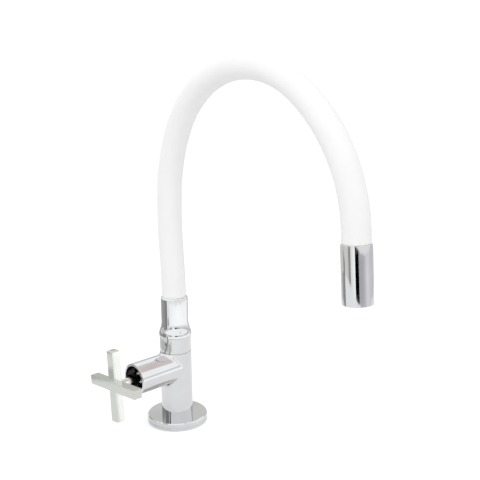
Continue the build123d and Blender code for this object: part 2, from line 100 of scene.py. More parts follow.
class NodeSheet:
    """A new node material with its Principled shader, and short ways to add nodes to it."""

    def __init__(self, name: str) -> None:
        """Make the material.

        Args:
            name: The material's name.
        """
        self.material = bpy.data.materials.new(name)
        self.material.use_nodes = True
        self.tree = self.material.node_tree
        self.shader = self.tree.nodes["Principled BSDF"]
        self.place = self.tree.nodes.new("ShaderNodeTexCoord").outputs["Object"]

    def node(self, kind: str, **settings: object) -> bpy.types.Node:
        """Add a node.

        Args:
            kind: The node's type name.
            **settings: Attributes to set on it.

        Returns:
            The new node.
        """
        made = self.tree.nodes.new(kind)
        for key, value in settings.items():
            setattr(made, key, value)
        return made

    def link(self, source: bpy.types.NodeSocket, target: bpy.types.NodeSocket) -> None:
        """Join two sockets."""
        self.tree.links.new(source, target)

    def noise(self, scale: float, detail: float) -> bpy.types.NodeSocket:
        """Add a noise pattern on the object's own coordinates.

        Args:
            scale: Features per metre.
            detail: Octaves of finer noise.

        Returns:
            The pattern's value socket.
        """
        pattern = self.node("ShaderNodeTexNoise")
        pattern.inputs["Scale"].default_value = scale
        pattern.inputs["Detail"].default_value = detail
        self.link(self.place, pattern.inputs["Vector"])
        return pattern.outputs["Fac"]

    def rings(self, per_metre: float) -> bpy.types.NodeSocket:
        """Add fine lathe marks that run round the upright axis.

        Args:
            per_metre: Marks per metre of length.

        Returns:
            The marks' value socket.
        """
        wave = self.node("ShaderNodeTexWave", wave_type="BANDS", bands_direction="Z")
        wave.inputs["Scale"].default_value = per_metre
        wave.inputs["Distortion"].default_value = MARK_WAVER
        wave.inputs["Detail"].default_value = MARK_DETAIL
        self.link(self.place, wave.inputs["Vector"])
        return wave.outputs["Fac"]

    def spread(self, value: bpy.types.NodeSocket, low: float, high: float) -> bpy.types.NodeSocket:
        """Stretch a pattern's middle range over two numbers.

        Args:
            value: The pattern.
            low: Result at its dark parts.
            high: Result at its light parts.

        Returns:
            The stretched value's socket.
        """
        reach = self.node("ShaderNodeMapRange")
        reach.inputs["From Min"].default_value = PATTERN_DARK
        reach.inputs["From Max"].default_value = PATTERN_LIGHT
        reach.inputs["To Min"].default_value = low
        reach.inputs["To Max"].default_value = high
        self.link(value, reach.inputs["Value"])
        return reach.outputs["Result"]

    def tint(self, value: bpy.types.NodeSocket, dark: Colour, light: Colour) -> None:
        """Colour the shader between two colours by a pattern.

        Args:
            value: The pattern.
            dark: Colour at its dark parts.
            light: Colour at its light parts.
        """
        ramp = self.node("ShaderNodeValToRGB")
        ramp.color_ramp.elements[0].color = (*dark, 1.0)
        ramp.color_ramp.elements[1].color = (*light, 1.0)
        ramp.color_ramp.elements[0].position = PATTERN_DARK
        ramp.color_ramp.elements[1].position = PATTERN_LIGHT
        self.link(value, ramp.inputs["Fac"])
        self.link(ramp.outputs["Color"], self.shader.inputs["Base Color"])

    def roughness(self, value: bpy.types.NodeSocket, low: float, high: float) -> None:
        """Vary the shader's roughness between two values by a pattern."""
        self.link(self.spread(value, low, high), self.shader.inputs["Roughness"])

    def bump(self, value: bpy.types.NodeSocket, depth: float) -> None:
        """Give the shader's surface a relief.

        Args:
            value: The pattern.
            depth: Its height in metres.
        """
        relief = self.node("ShaderNodeBump")
        relief.inputs["Distance"].default_value = depth
        relief.inputs["Strength"].default_value = 1.0
        self.link(value, relief.inputs["Height"])
        self.link(relief.outputs["Normal"], self.shader.inputs["Normal"])


@dataclass(frozen=True)
class MetalFinish:
    """A metal surface with faint tone changes, haze and lathe or casting marks."""

    name: str
    dark: Colour
    light: Colour
    roughness: tuple[float, float]
    haze_scale: float = 60.0
    marks_per_metre: float = 0.0
    marks_depth: float = 0.0

    def build(self) -> bpy.types.Material:
        """Build the finish.

        Returns:
            Its material.
        """
        sheet = NodeSheet(self.name)
        sheet.shader.inputs["Metallic"].default_value = 1.0
        sheet.tint(sheet.noise(self.haze_scale, HAZE_DETAIL), self.dark, self.light)
        sheet.roughness(sheet.noise(self.haze_scale * SHEEN_FINER, FINE_DETAIL), *self.roughness)
        if self.marks_depth:
            sheet.bump(sheet.rings(self.marks_per_metre), self.marks_depth)
        return sheet.material


@dataclass(frozen=True)
class PolymerFinish:
    """A moulded rubber, silicone or plastic surface with a fine grain."""

    name: str
    dark: Colour
    light: Colour
    roughness: tuple[float, float]
    grain_scale: float
    grain_depth: float
    scatter: float = 0.0
    clearness: float = 0.0

    def build(self) -> bpy.types.Material:
        """Build the finish.

        Returns:
            Its material.
        """
        sheet = NodeSheet(self.name)
        sheet.tint(sheet.noise(TONE_SCALE, TONE_DETAIL), self.dark, self.light)
        sheet.roughness(sheet.noise(SHEEN_SCALE, FINE_DETAIL), *self.roughness)
        sheet.bump(sheet.noise(self.grain_scale, FINE_DETAIL), self.grain_depth)
        sheet.shader.inputs["Subsurface Weight"].default_value = self.scatter
        sheet.shader.inputs["Subsurface Radius"].default_value = (SCATTER_REACH, SCATTER_REACH, SCATTER_REACH)
        sheet.shader.inputs["Transmission Weight"].default_value = self.clearness
        return sheet.material


FINISHES: dict[Slot, MetalFinish | PolymerFinish] = {
    Slot.POLISHED_CHROME: MetalFinish(
        "polished_chrome", (0.64, 0.645, 0.655), (0.68, 0.685, 0.695), (0.04, 0.08)
    ),
    Slot.SATIN_CHROME: MetalFinish(
        "satin_chrome", (0.58, 0.59, 0.56), (0.60, 0.61, 0.58), (0.10, 0.14), haze_scale=150.0
    ),
    Slot.BRASS: MetalFinish(
        "brass", (0.66, 0.50, 0.24), (0.76, 0.60, 0.32), (0.18, 0.30),
        haze_scale=90.0, marks_per_metre=900.0, marks_depth=0.00002,
    ),
    Slot.STAINLESS_STEEL: MetalFinish(
        "stainless_steel", (0.56, 0.57, 0.59), (0.64, 0.65, 0.67), (0.22, 0.32),
        haze_scale=90.0, marks_per_metre=1200.0, marks_depth=0.00002,
    ),
    Slot.ZINC_STEEL: MetalFinish(
        "zinc_steel", (0.60, 0.62, 0.66), (0.70, 0.71, 0.72), (0.26, 0.40), haze_scale=220.0
    ),
    Slot.WHITE_SILICONE: PolymerFinish(
        "white_silicone", (0.915, 0.92, 0.915), (0.935, 0.94, 0.935), (0.42, 0.52),
        grain_scale=2600.0, grain_depth=0.00002, scatter=0.15,
    ),
    Slot.BLACK_RUBBER: PolymerFinish(
        "black_rubber", (0.025, 0.025, 0.027), (0.045, 0.045, 0.047), (0.6, 0.75),
        grain_scale=1800.0, grain_depth=0.00005,
    ),
    # Only the headwork wears this black: partly its own plastic colour, partly painted shade for the barrel's
    # deep mouth.
    Slot.BLACK_PLASTIC: PolymerFinish(
        "black_plastic", (0.016, 0.016, 0.018), (0.026, 0.026, 0.028), (0.35, 0.45),
        grain_scale=1400.0, grain_depth=0.00003,
    ),
    Slot.HOSE_PLASTIC: PolymerFinish(
        "hose_plastic", (0.78, 0.80, 0.82), (0.84, 0.86, 0.87), (0.25, 0.35),
        grain_scale=1200.0, grain_depth=0.00002, scatter=0.2, clearness=0.35,
    ),
    Slot.CERAMIC: PolymerFinish(
        "ceramic", (0.90, 0.88, 0.84), (0.94, 0.92, 0.88), (0.12, 0.2),
        grain_scale=900.0, grain_depth=0.00001,
    ),
    Slot.WHITE_PLASTIC: PolymerFinish(
        "white_plastic", (0.84, 0.84, 0.83), (0.88, 0.88, 0.87), (0.34, 0.44),
        grain_scale=1500.0, grain_depth=0.00003, scatter=0.1,
    ),
}


class Finishes:
    """The built materials, one for each slot."""

    def __init__(self) -> None:
        """Build every finish."""
        self.materials = {slot: finish.build() for slot, finish in FINISHES.items()}

    def dress(self, piece: bpy.types.Object, slot: Slot) -> None:
        """Give a piece the material of a slot.

        Args:
            piece: A new piece or a node of the frame.
            slot: The slot.
        """
        piece.data.materials.clear()
        piece.data.materials.append(self.materials[slot])


# Ways of making


def start_clean() -> None:
    """Leave edit mode and deselect everything."""
    if bpy.context.mode != "OBJECT":
        bpy.ops.object.mode_set(mode="OBJECT")
    bpy.ops.object.select_all(action="DESELECT")


def pick_face(piece: bpy.types.Object, outwards: Vector, centre: Vector) -> None:
    """Go into edit mode with only one face selected.

    Args:
        piece: The piece, active.
        outwards: The way that the face looks.
        centre: The face's middle, from the piece's origin.
    """
    bpy.ops.object.mode_set(mode="EDIT")
    bpy.ops.mesh.select_mode(type="FACE")
    bpy.ops.mesh.select_all(action="DESELECT")
    bpy.ops.object.mode_set(mode="OBJECT")
    for face in piece.data.polygons:
        near = (face.center - centre).length < MM
        face.select = near and face.normal.dot(outwards) > SAME_WAY
    bpy.ops.object.mode_set(mode="EDIT")


def close_shell() -> None:
    """In edit mode, merge doubles and turn every face outwards."""
    bpy.ops.mesh.select_all(action="SELECT")
    bpy.ops.mesh.remove_doubles(threshold=JOIN_WITHIN)
    bpy.ops.mesh.normals_make_consistent(inside=False)


def settle(piece: bpy.types.Object, name: str, sharp_above: float = 30.0) -> bpy.types.Object:
    """Name a piece, put its place into its mesh and smooth its shading.

    Args:
        piece: The piece, selected and active.
        name: Its name.
        sharp_above: Edges sharper than this, in degrees, stay sharp.

    Returns:
        The piece.
    """
    piece.name = name
    piece.data.name = name
    bpy.ops.object.transform_apply(location=True, rotation=True, scale=True)
    if not piece.data.has_custom_normals:
        bpy.ops.object.shade_smooth_by_angle(angle=math.radians(sharp_above))
    return piece


def bevel(piece: bpy.types.Object, width: float, segments: int = 3, above: float = 35.0) -> None:
    """Round a piece's sharp edges with a bevel modifier that keeps the faces beside them true, and apply it.

    Args:
        piece: The piece, selected and active.
        width: Width of the bevel in metres.
        segments: Facets across it.
        above: Least angle of an edge that is rounded, in degrees.
    """
    bpy.ops.object.shade_smooth_by_angle(angle=math.radians(above))
    modifier = piece.modifiers.new("edge_round", "BEVEL")
    modifier.harden_normals = True
    modifier.width = width
    modifier.segments = segments
    modifier.limit_method = "ANGLE"
    modifier.angle_limit = math.radians(above)
    modifier.use_clamp_overlap = True
    bpy.ops.object.modifier_apply(modifier=modifier.name)


def turned(
    name: str, rings: Sequence[Ring], edge: float, placed: Matrix | None = None, segments: int = 96
) -> bpy.types.Object:
    """Turn a closed section about the local Z axis, ring by ring.

    Args:
        name: The piece's name.
        rings: Radius and height of each corner of the section, back to the first.
        edge: Width of the rounding on its corners.
        placed: Where the local frame goes.
        segments: Facets round the piece.

    Returns:
        The finished piece.
    """
    start_clean()
    radius, height = rings[0]
    bpy.ops.mesh.primitive_circle_add(vertices=segments, radius=radius, location=(0.0, 0.0, height))
    piece = bpy.context.object
    bpy.ops.object.mode_set(mode="EDIT")
    bpy.ops.mesh.select_all(action="SELECT")
    for (radius, height), (next_radius, next_height) in pairwise([*rings, rings[0]]):
        rise = next_height - height
        factor = next_radius / radius
        bpy.ops.mesh.extrude_edges_move(TRANSFORM_OT_translate={"value": (0.0, 0.0, rise)})
        bpy.ops.transform.resize(value=(factor, factor, 1.0), center_override=(0.0, 0.0, next_height))
    close_shell()
    bpy.ops.object.mode_set(mode="OBJECT")
    bevel(piece, edge)
    if placed is not None:
        piece.matrix_world = placed @ piece.matrix_world
    return settle(piece, name)


def cut(piece: bpy.types.Object, cutter: bpy.types.Object) -> None:
    """Take a cutter's shape out of a piece and delete the cutter.

    Args:
        piece: The piece.
        cutter: The shape to take out.
    """
    start_clean()
    piece.select_set(True)
    bpy.context.view_layer.objects.active = piece
    modifier = piece.modifiers.new("opening", "BOOLEAN")
    modifier.operation = "DIFFERENCE"
    modifier.solver = "EXACT"
    modifier.object = cutter
    bpy.ops.object.modifier_apply(modifier=modifier.name)
    bpy.data.objects.remove(cutter)


@dataclass(frozen=True)
class Station:
    """A point of the hose's centreline in the plane X = 0; the heading leans from +Z to -Y, in degrees."""

    y: float
    z: float
    heading: float

    @property
    def lean(self) -> float:
        """The heading in radians."""
        return math.radians(self.heading)

    @property
    def point(self) -> Vector:
        """The station's place."""
        return Vector((0.0, self.y, self.z))

    @property
    def along(self) -> Vector:
        """Unit vector along the hose."""
        return Vector((0.0, -math.sin(self.lean), math.cos(self.lean)))

    @property
    def across(self) -> Vector:
        """Unit vector in the arch's plane, square to the hose."""
        return Vector((0.0, math.cos(self.lean), math.sin(self.lean)))

    def frame(self) -> Matrix:
        """Return the frame whose +Z runs along the hose."""
        return Matrix.Translation(self.point) @ Matrix.Rotation(self.lean, 4, "X")

    def after(self, length: float, turn: float = 0.0) -> "Station":
        """Follow the hose on.

        Args:
            length: Length of the run in metres.
            turn: Degrees that it turns over that length.

        Returns:
            The station at its end.
        """
        if turn == 0.0:
            place = self.point + self.along * length
            return Station(place.y, place.z, self.heading)
        radius = length / math.radians(turn)
        centre = self.point - self.across * radius
        end = Station(0.0, 0.0, self.heading + turn)
        place = centre + end.across * radius
        return Station(place.y, place.z, end.heading)


# Sub-assemblies


@dataclass
class SubAssembly:
    """A group of pieces that is built and dressed together."""

    finishes: Finishes

    def keep(self, slot: Slot, *nodes: str) -> None:
        """Show nodes of the frame with the material of a slot.

        Args:
            slot: The slot.
            *nodes: Names of the nodes.
        """
        for node in nodes:
            self.finishes.dress(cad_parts[node], slot)
            log.info("%s stays, in %s", node, slot.value)

    def add(self, piece: bpy.types.Object, body: str, slot: Slot, *nodes: str) -> bpy.types.Object:
        """Dress a new piece, let it ride on a body and stand for nodes.

        Args:
            piece: The piece.
            body: The body that it rides on.
            slot: Its material slot.
            *nodes: The nodes that it stands for.

        Returns:
            The piece.
        """
        self.finishes.dress(piece, slot)
        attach(piece, body)
        if nodes:
            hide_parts(*nodes)
        log.info("%s made, rides on %s", piece.name, body)
        return piece


@dataclass
class DeckFixing(SubAssembly):
    """Base flange with its gasket, and the shank, washers and nut under the deck."""

    flange_radius: float = 30.0 * MM
    flange_height: float = 8.0 * MM
    flange_bevel: float = 0.9 * MM
    flange_bore: float = 10.8 * MM
    groove_height: float = 3.2 * MM
    groove_width: float = 0.5 * MM
    groove_depth: float = 0.4 * MM
    gasket_outer: float = 27.0 * MM
    gasket_inner: float = 20.0 * MM
    gasket_depth: float = 2.0 * MM
    edge: float = 0.15 * MM

    def flange(self) -> bpy.types.Object:
        """Make the mirror-topped flange with its rim, side groove and gasket seat.

        Returns:
            The flange.
        """
        low = self.groove_height - self.groove_width / 2
        high = self.groove_height + self.groove_width / 2
        floor = self.flange_radius - self.groove_depth
        rings = (
            (self.gasket_outer, 0.0),
            (self.flange_radius, 0.0),
            (self.flange_radius, low),
            (floor, low),
            (floor, high),
            (self.flange_radius, high),
            (self.flange_radius, self.flange_height - self.flange_bevel),
            (self.flange_radius - self.flange_bevel, self.flange_height),
            (self.flange_bore, self.flange_height),
            (self.flange_bore, 0.0),
            (self.gasket_inner, 0.0),
            (self.gasket_inner, self.gasket_depth),
            (self.gasket_outer, self.gasket_depth),
        )
        return turned("flange_disc", rings, self.edge, segments=144)

    def build(self) -> None:
        """Build and dress the deck fixing."""
        self.add(self.flange(), "tap_body", Slot.POLISHED_CHROME, "base_flange")
        self.keep(Slot.BLACK_RUBBER, "base_gasket", "rubber_deck_washer")
        self.keep(Slot.ZINC_STEEL, "metal_deck_washer")
        self.keep(Slot.BRASS, "backnut", "threaded_shank")


@dataclass
class ValveColumn(SubAssembly):
    """Column with its side barrel, the union nut and the valve inside."""

    nut_radius: float = 15.6 * MM
    nut_bottom: float = 74.5 * MM
    nut_top: float = 90.3 * MM
    nut_bore: float = 13.45 * MM
    nut_neck: float = 10.6 * MM
    nut_shelf: float = 88.7 * MM
    edge: float = 0.5 * MM

    def union_nut(self) -> bpy.types.Object:
        """Make the plain round nut with softly rounded edges.

        Returns:
            The nut.
        """
        rings = (
            (self.nut_radius, self.nut_bottom),
            (self.nut_radius, self.nut_top),
            (self.nut_neck, self.nut_top),
            (self.nut_neck, self.nut_shelf),
            (self.nut_bore, self.nut_shelf),
            (self.nut_bore, self.nut_bottom),
        )
        return turned("union_collar", rings, self.edge)

    def build(self) -> None:
        """Build and dress the column and the valve."""
        self.keep(Slot.POLISHED_CHROME, "valve_body")
        self.add(self.union_nut(), "tap_body", Slot.POLISHED_CHROME, "union_nut")
        self.keep(Slot.WHITE_PLASTIC, "slip_ring")
        self.keep(Slot.BLACK_RUBBER, "seat_gasket", "headwork_seal", "spindle_o_rings")
        self.keep(Slot.CERAMIC, "fixed_disc", "moving_disc")
        # The headwork is black plastic, as real headworks can be, and is made dark so that it also gives the
        # painted shade of the barrel's deep mouth.
        self.keep(Slot.BLACK_PLASTIC, "headwork_body")
        self.keep(Slot.BRASS, "spindle")
        self.keep(Slot.STAINLESS_STEEL, "spindle_circlip")


@dataclass
class CrossHandle(SubAssembly):
    """Cross of four square bars on a slim hub."""

    axis_height: float = 58.0 * MM
    reach: float = 78.3 * MM
    span: float = 70.0 * MM
    bar: float = 8.8 * MM
    end_chamfer: float = 0.8 * MM
    edge: float = 0.25 * MM
    hub_radius: float = 3.9 * MM
    hub_start: float = 47.1 * MM
    hub_bore: float = 2.55 * MM
    rest_angle: float = 3.0
    screw_place: float = 58.0 * MM
    screw_radius: float = 1.55 * MM

    def placed(self) -> Matrix:
        """Place the handle's frame, turned to its rest.

        Returns:
            The frame, whose +Z runs out along the barrel.
        """
        outwards = Matrix(((0.0, 0.0, -1.0), (-1.0, 0.0, 0.0), (0.0, 1.0, 0.0))).to_4x4()
        turn = Matrix.Rotation(math.radians(self.rest_angle), 4, "Z")
        return Matrix.Translation((0.0, 0.0, self.axis_height)) @ outwards @ turn

    def cross(self) -> bpy.types.Object:
        """Grow the four bars out of one block.

        Returns:
            The cross.
        """
        start_clean()
        middle = self.reach - self.bar / 2
        bpy.ops.mesh.primitive_cube_add(size=self.bar, location=(0.0, 0.0, middle))
        piece = bpy.context.object
        arm = (self.span - self.bar) / 2
        for x, y in ((1, 0), (-1, 0), (0, 1), (0, -1)):
            outwards = Vector((x, y, 0.0))
            pick_face(piece, outwards, outwards * (self.bar / 2))
            bpy.ops.mesh.extrude_region_move(TRANSFORM_OT_translate={"value": outwards * arm})
            bpy.ops.mesh.bevel(offset=self.end_chamfer, segments=1, affect="EDGES")
        bpy.ops.object.mode_set(mode="OBJECT")
        bevel(piece, self.edge, above=25.0)
        piece.matrix_world = self.placed() @ piece.matrix_world
        return settle(piece, "handle_cross", sharp_above=40.0)

    def hub(self) -> bpy.types.Object:
        """Make the slim hub with its bore and the hole for the grub screw.

        Returns:
            The hub.
        """
        end = self.reach - self.bar + self.edge
        rings = (
            (self.hub_radius, self.hub_start),
            (self.hub_radius, end),
            (self.hub_bore, end),
            (self.hub_bore, self.hub_start),
        )
        piece = turned("handle_hub", rings, self.edge, self.placed(), segments=64)
        start_clean()
        bpy.ops.mesh.primitive_cylinder_add(vertices=32, radius=self.screw_radius, depth=self.hub_radius)
        cutter = bpy.context.object
        beside = Matrix.Translation((0.0, -self.hub_radius, self.screw_place))
        cutter.matrix_world = self.placed() @ beside @ Matrix.Rotation(math.radians(90), 4, "X")
        cut(piece, cutter)
        return piece

    def build(self) -> None:
        """Build and dress the handle."""
        self.add(self.cross(), "handle", Slot.SATIN_CHROME, "cross_handle")
        self.add(self.hub(), "handle", Slot.SATIN_CHROME, "cross_handle")
        self.keep(Slot.STAINLESS_STEEL, "handle_grub_screw")


@dataclass
class BellFitting(SubAssembly):
    """Tulip-shaped fitting between the union nut and the hose."""

    bottom: float = 90.6 * MM
    height: float = 39.6 * MM
    base_radius: float = 16.2 * MM
    base_height: float = 0.4 * MM
    neck_radius: float = 13.3 * MM
    round_height: float = 5.5 * MM
    sweep_height: float = 8.5 * MM
    lip_height: float = 2.2 * MM
    lip_radius: float = 12.25 * MM
    socket_radius: float = 12.1 * MM
    tail_radius: float = 10.3 * MM
    floor: float = 8.4 * MM
    flare_steps: int = 8
    edge: float = 0.3 * MM

    def flare(self) -> list[Ring]:
        """Draw the flare, a round shoulder that sweeps hollow into the neck.

        Returns:
            Its rings, upwards.
        """
        start = self.bottom + self.base_height
        end = start + self.round_height + self.sweep_height
        lean = 2 * math.atan((self.base_radius - self.neck_radius) / (end - start))
        shoulder = self.round_height / math.sin(lean)
        sweep = self.sweep_height / math.sin(lean)
        angles = [lean * step / self.flare_steps for step in range(self.flare_steps + 1)]
        rings = [
            (self.base_radius - shoulder * (1 - math.cos(angle)), start + shoulder * math.sin(angle))
            for angle in angles
        ]
        rings += [
            (self.neck_radius + sweep * (1 - math.cos(angle)), end - sweep * math.sin(angle))
            for angle in reversed(angles[:-1])
        ]
        return rings

    def lip(self) -> list[Ring]:
        """Draw the rounded lip, from the neck's wall in to the socket.

        Returns:
            Its rings, upwards.
        """
        top = self.bottom + self.height
        inwards = self.neck_radius - self.lip_radius
        whole = 2 * math.atan(inwards / self.lip_height)
        radius = self.lip_height / math.sin(whole)
        angles = [whole * step / self.flare_steps for step in range(self.flare_steps + 1)]
        start = top - self.lip_height
        return [
            (self.neck_radius - radius * (1 - math.cos(angle)), start + radius * math.sin(angle))
            for angle in angles
        ]

    def bell(self) -> bpy.types.Object:
        """Make the bell with its flare, lip and socket for the hose.

        Returns:
            The bell.
        """
        top = self.bottom + self.height
        floor = self.bottom + self.floor
        rings = [
            (self.base_radius, self.bottom),
            *self.flare(),
            *self.lip(),
            (self.socket_radius, top),
            (self.socket_radius, floor),
            (self.tail_radius, floor),
            (self.tail_radius, self.bottom),
        ]
        return turned("bell_socket", rings, self.edge)

    def build(self) -> None:
        """Build and dress the bell and what it holds."""
        self.add(self.bell(), "spout_base", Slot.POLISHED_CHROME, "bell_fitting")
        self.keep(Slot.BRASS, "swivel_tail", "lower_ferrule")
        self.keep(Slot.BLACK_RUBBER, "tail_o_rings")


@dataclass
class FlexibleHose(SubAssembly):
    """Silicone sleeve and water hose over the jointed gooseneck.

    Each tube is made in stretches that meet in the middle of a link, and each stretch is swept round the
    joint in it.
    """

    start_height: float = 104.0 * MM
    grip: float = 14.0 * MM
    outlet_grip: float = 11.6 * MM
    pitch: float = 59.5 * MM
    turns: tuple[float, ...] = (-4.2, 8.5, 21.4, 33.5, 34.7, 33.5, 22.9, 26.3)
    sleeve_radius: float = 11.8 * MM
    sleeve_wall: float = 2.0 * MM
    water_radius: float = 3.6 * MM
    water_wall: float = 1.2 * MM
    water_tuck_below: float = 9.2 * MM
    water_tuck_above: float = 2.0 * MM
    facets: int = 64
    ring_step: float = 2.5 * MM
    bend_reach: float = 20.0 * MM
    # The stretches at these joints are singled out in bent_tube, which bakes them the same way as the others.
    from_above: tuple[int, ...] = (3, 5)

    def bodies(self) -> list[str]:
        """Return the bodies along the hose, bell to outlet."""
        links = [f"hose_link_{number}" for number in range(2, len(self.turns))]
        return ["spout_base", *links, "outlet"]

    def tube(
        self, name: str, start: Station, runs: Sequence[Run], radius: float, wall: float
    ) -> bpy.types.Object:
        """Sweep a tube along straight and curved runs.

        Args:
            name: The piece's name.
            start: Where it starts.
            runs: Length and turn in degrees of each run.
            radius: Outer radius.
            wall: Thickness of its wall.

        Returns:
            The tube.
        """
        start_clean()
        bpy.ops.mesh.primitive_circle_add(
            vertices=self.facets, radius=radius, location=start.point, rotation=(start.lean, 0.0, 0.0)
        )
        piece = bpy.context.object
        bpy.ops.object.mode_set(mode="EDIT")
        bpy.ops.mesh.select_all(action="SELECT")
        here = start
        for length, turn in runs:
            steps = max(1, round(length / self.ring_step))
            if turn == 0.0:
                rise = here.along * (length / steps)
                for _ in range(steps):
                    bpy.ops.mesh.extrude_edges_move(TRANSFORM_OT_translate={"value": rise})
            else:
                centre = here.point - here.across * (length / math.radians(turn))
                bpy.ops.mesh.spin(steps=steps, angle=-math.radians(turn), center=centre, axis=(1.0, 0.0, 0.0))
            here = here.after(length, turn)
        close_shell()
        bpy.ops.object.mode_set(mode="OBJECT")
        modifier = piece.modifiers.new("wall", "SOLIDIFY")
        modifier.thickness = wall
        modifier.offset = -1.0
        modifier.use_even_offset = True
        bpy.ops.object.modifier_apply(modifier=modifier.name)
        return settle(piece, name, sharp_above=50.0)

    def stretches(self, before: float, beyond: float) -> list[tuple[Station, Station, list[Run]]]:
        """Cut the centreline in the middle of each inner link.

        Args:
            before: Straight length below the first link.
            beyond: Straight length past the last link.

        Returns:
            For each joint, the stretch's start, the joint's station and the stretch's runs.
        """
        here = Station(0.0, self.start_height + self.grip, 0.0).after(-before)
        found = []
        for number, (turn, next_turn) in enumerate(pairwise(self.turns)):
            runs = [(before, 0.0), (self.pitch, turn)] if number == 0 else [(self.pitch / 2, turn / 2)]
            joint = here
            for length, bend in runs:
                joint = joint.after(length, bend)
            start = here
            if number == len(self.turns) - 2:
                runs += [(self.pitch, next_turn), (beyond, 0.0)]
            else:
                runs.append((self.pitch / 2, next_turn / 2))
            here = joint.after(self.pitch / 2, next_turn / 2)
            found.append((start, joint, runs))
        return found

    def bent_tube(
        self, name: str, node: str, slot: Slot, radius: float, wall: float, before: float, beyond: float
    ) -> None:
        """Make one tube of the hose in stretches.

        Args:
            name: Start of the stretches' names.
            node: The node that they stand for.
            slot: Their material slot.
            radius: Outer radius.
            wall: Thickness of the wall.
            before: Straight length below the first link.
            beyond: Straight length past the last link.
        """
        for number, (start, joint, runs) in enumerate(self.stretches(before, beyond)):
            piece = self.tube(f"{name}_{number + 1}", start, runs, radius, wall)
            self.finishes.dress(piece, slot)
            if number + 1 in self.from_above:
                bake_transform(piece)
            else:
                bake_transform(piece)
            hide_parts(node)

    def build(self) -> None:
        """Build and dress the hose."""
        self.bent_tube(
            "sleeve", "hose_sleeve", Slot.WHITE_SILICONE, self.sleeve_radius, self.sleeve_wall,
            self.grip, self.outlet_grip,
        )
        self.bent_tube(
            "water_tube", "water_hose", Slot.HOSE_PLASTIC, self.water_radius, self.water_wall,
            self.grip + self.water_tuck_below, self.outlet_grip - self.water_tuck_above,
        )
        links = [f"gooseneck_link_{number + 1}" for number in range(len(self.turns))]
        self.keep(Slot.STAINLESS_STEEL, *links)

    def outlet(self) -> Station:
        """Follow the centreline to the sleeve's lower end.

        Returns:
            The station there.
        """
        here = Station(0.0, self.start_height + self.grip, 0.0)
        for turn in self.turns:
            here = here.after(self.pitch, turn)
        return here.after(self.outlet_grip)


@dataclass
class AeratorOutlet(SubAssembly):
    """Plain round sleeve at the hose's end, with its ferrule and aerator."""

    outlet: Station = Station(0.0, 0.0, 180.0)
    radius: float = 12.7 * MM
    wall: float = 1.2 * MM
    gap: float = 0.2 * MM
    length: float = 48.0 * MM
    shoulder_start: float = 12.2 * MM
    shoulder_length: float = 2.0 * MM
    shoulder_bore: float = 9.2 * MM
    edge: float = 0.4 * MM

    def housing(self) -> bpy.types.Object:
        """Make the plain round sleeve with its inner shoulder.

        Returns:
            The sleeve.
        """
        bore = self.radius - self.wall
        shoulder_end = self.shoulder_start + self.shoulder_length
        end = self.gap + self.length
        rings = (
            (self.radius, self.gap),
            (self.radius, end),
            (bore, end),
            (bore, shoulder_end),
            (self.shoulder_bore, shoulder_end),
            (self.shoulder_bore, self.shoulder_start),
            (bore, self.shoulder_start),
            (bore, self.gap),
        )
        return turned("outlet_sleeve", rings, self.edge, self.outlet.frame())

    def build(self) -> None:
        """Build and dress the outlet."""
        self.add(self.housing(), "outlet", Slot.POLISHED_CHROME, "aerator_housing")
        self.keep(Slot.BRASS, "upper_ferrule")
        self.keep(Slot.BLACK_RUBBER, "aerator_washer")
        self.keep(Slot.STAINLESS_STEEL, "inlet_screen")
        self.keep(Slot.WHITE_PLASTIC, "aerator_cartridge", "flow_straightener")


# Studio

VIOLET: Colour = (0.97, 0.96, 1.0)
WARM: Colour = (1.0, 0.99, 0.955)
ROSE: Colour = (1.0, 0.86, 0.82)
COLUMN: tuple[float, float] = (0.0, 0.0)
OUTLET: tuple[float, float] = (0.0, -0.2225)
OUTLET_HEIGHTS: tuple[float, float] = (0.088, 0.157)
OUTLET_AWAY = 0.40  # distance of the outlet's screens from its axis


@dataclass(frozen=True)
class Panel:
    """A lamp or card of the studio that faces the tap.

    The strength is a lamp's power in watts, or a card's brightness at its
    left edge, and the right edge's brightness is right_strength.
    """

    name: str
    place: Triple
    width: float
    height: float
    strength: float
    right_strength: float = 0.0
    aim: Triple = (0.0, -0.08, 0.15)
    tint: Colour = (1.0, 1.0, 1.0)

    def frame(self) -> Matrix:
        """Return the panel's frame, whose -Z looks at its aim."""
        look = (Vector(self.aim) - Vector(self.place)).to_track_quat("-Z", "Y")
        return Matrix.Translation(self.place) @ look.to_matrix().to_4x4()


@dataclass(frozen=True)
class Screen:
    """A folding screen of cards that stands about a vertical axis.

    Its folds are at bearings in degrees from +X over towards +Y, and its
    brightness runs evenly from fold to fold.
    """

    name: str
    centre: tuple[float, float]
    distance: float
    heights: tuple[float, float]
    folds: tuple[Fold, ...]
    tint: Colour = (1.0, 1.0, 1.0)

    def panels(self) -> list[Panel]:
        """Set out the flat cards between the folds.

        Returns:
            The cards, in the order of the folds.
        """
        low, high = self.heights
        middle = Vector((*self.centre, (low + high) / 2))
        cards = []
        for number, ((bearing, tone), (next_bearing, next_tone)) in enumerate(pairwise(self.folds)):
            half = math.radians(next_bearing - bearing) / 2
            towards = math.radians(bearing) + half
            reach = self.distance * math.cos(half)
            place = middle + Vector((math.cos(towards), math.sin(towards), 0.0)) * reach
            width = 2 * self.distance * math.sin(half)
            name = f"{self.name}_{number + 1}"
            aim = tuple(middle)
            cards.append(Panel(name, tuple(place), width, high - low, next_tone, tone, aim, self.tint))
        return cards


